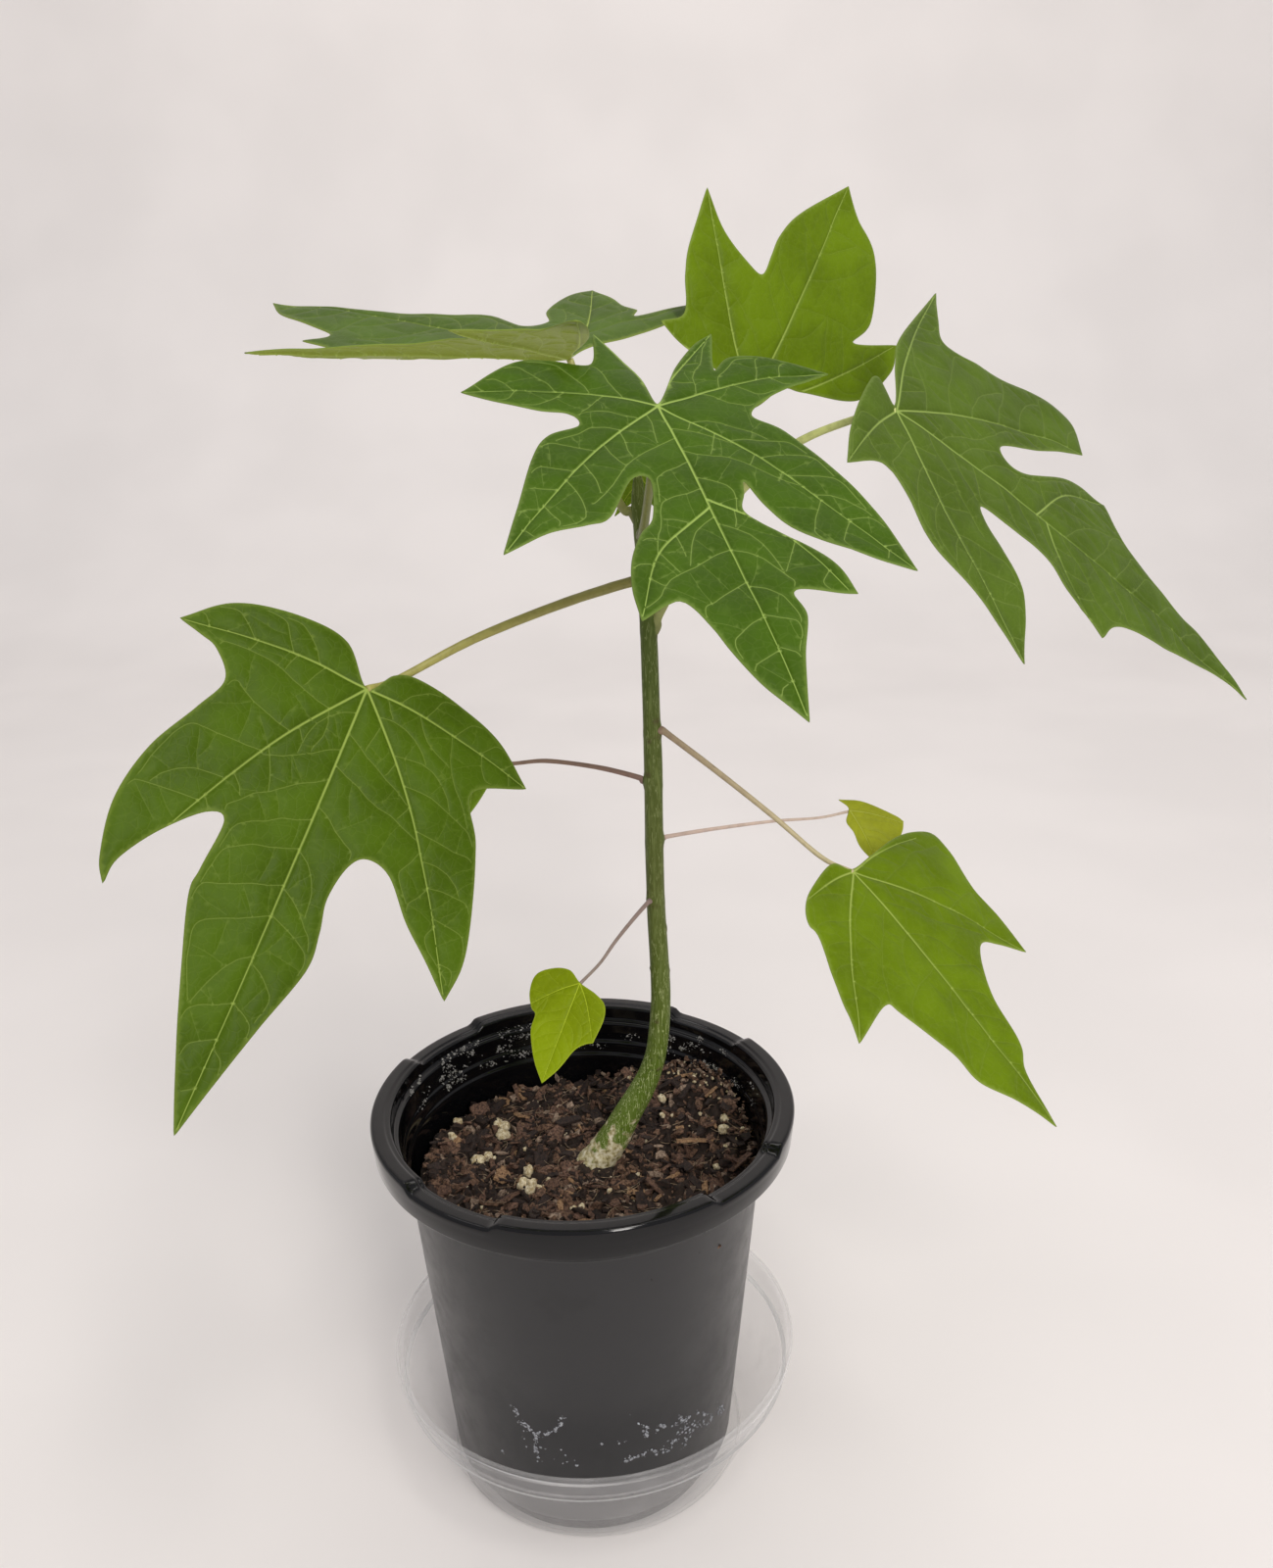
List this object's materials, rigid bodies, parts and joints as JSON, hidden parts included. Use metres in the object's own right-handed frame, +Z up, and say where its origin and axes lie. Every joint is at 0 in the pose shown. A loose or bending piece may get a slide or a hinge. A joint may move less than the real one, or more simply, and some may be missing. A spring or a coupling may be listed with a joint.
{
  "type": "potted papaya plant",
  "caption": "Young papaya plant with a leaning stem and long-stalked palmate leaves, in a round nursery pot standing in a deep clear saucer.",
  "frame": {"origin": "on the pot's axis, at the flat underside of the saucer", "axes": "+Z up from the saucer to the leaves, -Y towards the front, +X to the right"},
  "size_m": [0.3682, 0.2431, 0.4998],
  "materials": {
    "saucer": "clear, glossy",
    "pot": "satin charcoal with a glossier rim",
    "soil": "rough, crumbly",
    "stem": "satin",
    "stalk": "satin",
    "leaf_front": "satin, finely veined",
    "leaf_left": "satin, finely veined",
    "leaf_right": "satin, finely veined",
    "leaf_back": "satin, finely veined",
    "leaf_upper": "satin, finely veined",
    "leaf_lower": "satin, finely veined",
    "leaf_low": "satin, finely veined",
    "leaf_small": "satin, finely veined",
    "leaf_hidden": "satin, finely veined",
    "leaf_young": "satin, finely veined"
  },
  "bodies": {
    "root": {"saucer": "saucer", "pot": "pot", "soil": "soil", "stem": "stem", "blade_front": "leaf_front", "stalk_front": "stalk", "blade_left": "leaf_left", "stalk_left": "stalk", "blade_right": "leaf_right", "stalk_right": "stalk", "blade_back": "leaf_back", "stalk_back": "stalk", "blade_upper": "leaf_upper", "stalk_upper": "stalk", "blade_lower": "leaf_lower", "stalk_lower": "stalk", "blade_low": "leaf_low", "stalk_low": "stalk", "blade_small": "leaf_small", "stalk_small": "stalk", "blade_hidden": "leaf_hidden", "stalk_hidden": "stalk", "blade_young": "leaf_young", "stalk_young": "stalk"}
  },
  "joints": []
}
